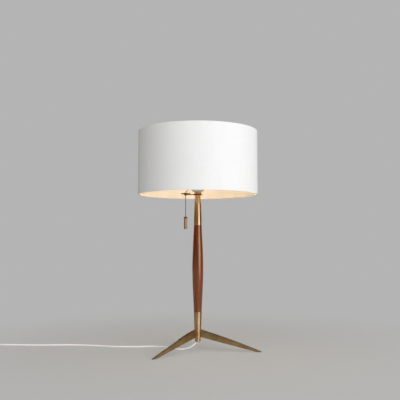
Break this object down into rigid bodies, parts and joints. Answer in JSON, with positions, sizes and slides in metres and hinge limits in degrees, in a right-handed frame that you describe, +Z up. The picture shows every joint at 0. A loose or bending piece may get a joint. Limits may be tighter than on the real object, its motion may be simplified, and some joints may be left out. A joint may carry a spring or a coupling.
{
  "type": "table lamp",
  "caption": "Table lamp with a turned walnut and brass stem on three blade legs, a white fabric drum shade, a pull chain on a guide arm and a coiled cord.",
  "frame": {"origin": "on the floor, on the axis of the stem", "axes": "+Z up along the stem; the pull chain hangs on the -X side; -Y faces the camera of the picture"},
  "size_m": [0.9475, 0.381, 0.706],
  "materials": {
    "leg_brass": "antique, brushed",
    "stem_brass": "antique, satin",
    "dark_brass": "dark antique, satin",
    "bright_brass": "plain",
    "steel": "zinc plated",
    "bead_chain": "nickel plated",
    "walnut": "oiled walnut",
    "phenolic": "moulded",
    "cord_plastic": "white, soft",
    "paper": "fibre paper",
    "shade_fabric": "white linen weave",
    "shade_lining": "cream styrene",
    "clear_plastic": "clear",
    "bulb_glass": "opal",
    "bulb_metal": "rolled"
  },
  "bodies": {
    "root": {"leg_left": "leg_brass", "leg_right": "leg_brass", "leg_back": "leg_brass", "leg_glides": "clear_plastic", "lower_ferrule": "stem_brass", "toothed_washer": "steel", "round_nut": "steel", "threaded_pipe": "steel", "cord_relief": "cord_plastic", "inner_cord": "cord_plastic", "walnut_spindle": "walnut", "brass_neck": "stem_brass", "guide_arm": "dark_brass", "guide_disc": "dark_brass", "guide_eyelet": "stem_brass", "upper_chain": "bead_chain", "check_ring": "stem_brass", "harp_saddle": "dark_brass", "socket_cap": "stem_brass", "cap_bushing": "steel", "set_screw": "steel", "lead_front": "phenolic", "lead_back": "cord_plastic", "switch_body": "phenolic", "terminal_screws": "bright_brass", "centre_contact": "bright_brass", "screw_shell": "bright_brass", "paper_insulator": "paper", "socket_shell": "bright_brass", "chain_outlet": "bright_brass", "wheel_axle": "steel", "return_spring": "steel", "harp": "dark_brass", "harp_stud": "stem_brass", "cord": "cord_plastic", "cord_coil": "cord_plastic", "cord_tie": "phenolic", "cord_tail": "cord_plastic", "plug_relief": "cord_plastic", "plug_body": "cord_plastic", "plug_blades": "bright_brass"},
    "shade": {"shade_fabric": "shade_fabric", "shade_liner": "shade_lining", "top_hoop": "steel", "bottom_hoop": "steel", "spider": "steel", "top_hem": "shade_fabric", "bottom_hem": "shade_fabric"},
    "finial": {"finial": "stem_brass"},
    "bulb": {"bulb_glass": "bulb_glass", "bulb_base": "bulb_metal", "bulb_contact": "phenolic"},
    "sleeve_front": {"harp_sleeve_front": "dark_brass"},
    "sleeve_back": {"harp_sleeve_back": "dark_brass"},
    "chain": {"lower_chain": "bead_chain"},
    "pull": {"pull_cap": "dark_brass", "pull_body": "stem_brass"},
    "wheel": {"chain_wheel": "phenolic"}
  },
  "joints": [
    {"name": "chain_swing", "type": "hinge", "parent": "root", "child": "chain", "pos_m": [-0.039, 0, 0.4864], "axis": [0, 1, 0], "range_deg": [-8, 30]},
    {"name": "pull_slide", "type": "slide", "parent": "chain", "child": "pull", "axis": [0, 0, -1], "range_m": [0, 0.01], "stiffness_N_per_m": 500, "springref_m": -0.006, "deforming": ["lower_chain"]},
    {"name": "wheel_turn", "type": "hinge", "parent": "root", "child": "wheel", "pos_m": [-0.0084, 0, 0.5287], "axis": [0, -1, 0], "range_deg": [0, 96]},
    {"name": "shade_turn", "type": "hinge", "parent": "root", "child": "shade", "pos_m": [0, 0, 0.6825], "axis": [0, 0, 1], "continuous": true},
    {"name": "finial_turn", "type": "hinge", "parent": "root", "child": "finial", "pos_m": [0, 0, 0.6842], "axis": [0, 0, 1], "continuous": true},
    {"name": "bulb_unscrew", "type": "hinge", "parent": "root", "child": "bulb", "pos_m": [0, 0, 0.5458], "axis": [0, 0, 1], "range_deg": [0, 1080]},
    {"name": "sleeve_front_lift", "type": "slide", "parent": "root", "child": "sleeve_front", "axis": [0, 0, 1], "range_m": [0, 0.008]},
    {"name": "sleeve_back_lift", "type": "slide", "parent": "root", "child": "sleeve_back", "axis": [0, 0, 1], "range_m": [0, 0.008]}
  ],
  "couplings": [
    {"joint": "wheel_turn", "follows": "pull_slide", "rad_per_m": 166.67}
  ]
}
